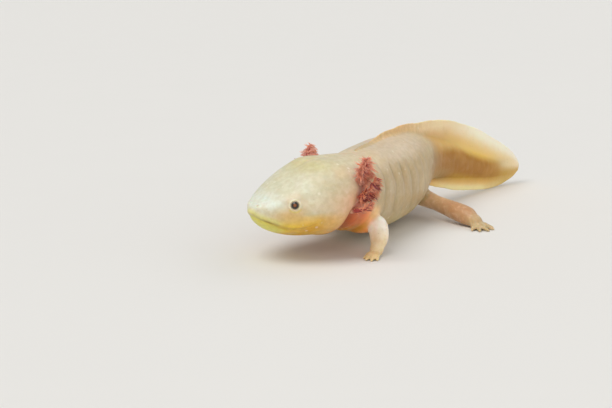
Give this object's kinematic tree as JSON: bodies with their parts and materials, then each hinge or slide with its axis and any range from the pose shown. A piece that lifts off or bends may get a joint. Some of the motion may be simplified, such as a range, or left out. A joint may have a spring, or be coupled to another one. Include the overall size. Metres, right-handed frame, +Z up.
{
  "type": "axolotl",
  "caption": "Life-size still model of a pale golden axolotl standing on bent legs, head turned aside, with feathery gills and a finned tail.",
  "frame": {"origin": "centre of the plan outline at the level of the soles", "axes": "+Z up; the trunk and tail lie along Y with the tail tip at +Y and the head at -Y; +X is the animal's left"},
  "size_m": [0.1008, 0.231, 0.045],
  "materials": {
    "skin_head": "moist skin, soft satin",
    "skin_neck": "moist skin, soft satin",
    "skin_trunk": "moist skin, soft satin",
    "skin_tail": "moist skin, soft satin",
    "fin_back": "moist skin, soft satin",
    "fin_tail_upper": "moist skin, soft satin",
    "fin_tail_lower": "moist skin, soft satin",
    "skin_leg_front_left": "moist skin, soft satin",
    "skin_leg_front_right": "moist skin, soft satin",
    "skin_leg_hind_left": "moist skin, soft satin",
    "skin_leg_hind_right": "moist skin, soft satin",
    "frill_gill_left_upper": "soft, moist",
    "frill_gill_left_middle": "soft, moist",
    "frill_gill_left_lower": "soft, moist",
    "frill_gill_right_upper": "soft, moist",
    "frill_gill_right_middle": "soft, moist",
    "frill_gill_right_lower": "soft, moist",
    "eye_left_gloss": "clear gloss over a dark eye",
    "eye_right_gloss": "clear gloss over a dark eye"
  },
  "bodies": {
    "root": {"head": "skin_head", "neck": "skin_neck", "trunk": "skin_trunk", "tail": "skin_tail", "dorsal_fin": "fin_back", "tail_fin_upper": "fin_tail_upper", "tail_fin_lower": "fin_tail_lower", "leg_front_left": "skin_leg_front_left", "leg_front_right": "skin_leg_front_right", "leg_hind_left": "skin_leg_hind_left", "leg_hind_right": "skin_leg_hind_right", "gill_left_upper": "frill_gill_left_upper", "gill_left_middle": "frill_gill_left_middle", "gill_left_lower": "frill_gill_left_lower", "gill_right_upper": "frill_gill_right_upper", "gill_right_middle": "frill_gill_right_middle", "gill_right_lower": "frill_gill_right_lower", "eye_left": "eye_left_gloss", "eye_right": "eye_right_gloss"}
  },
  "joints": []
}
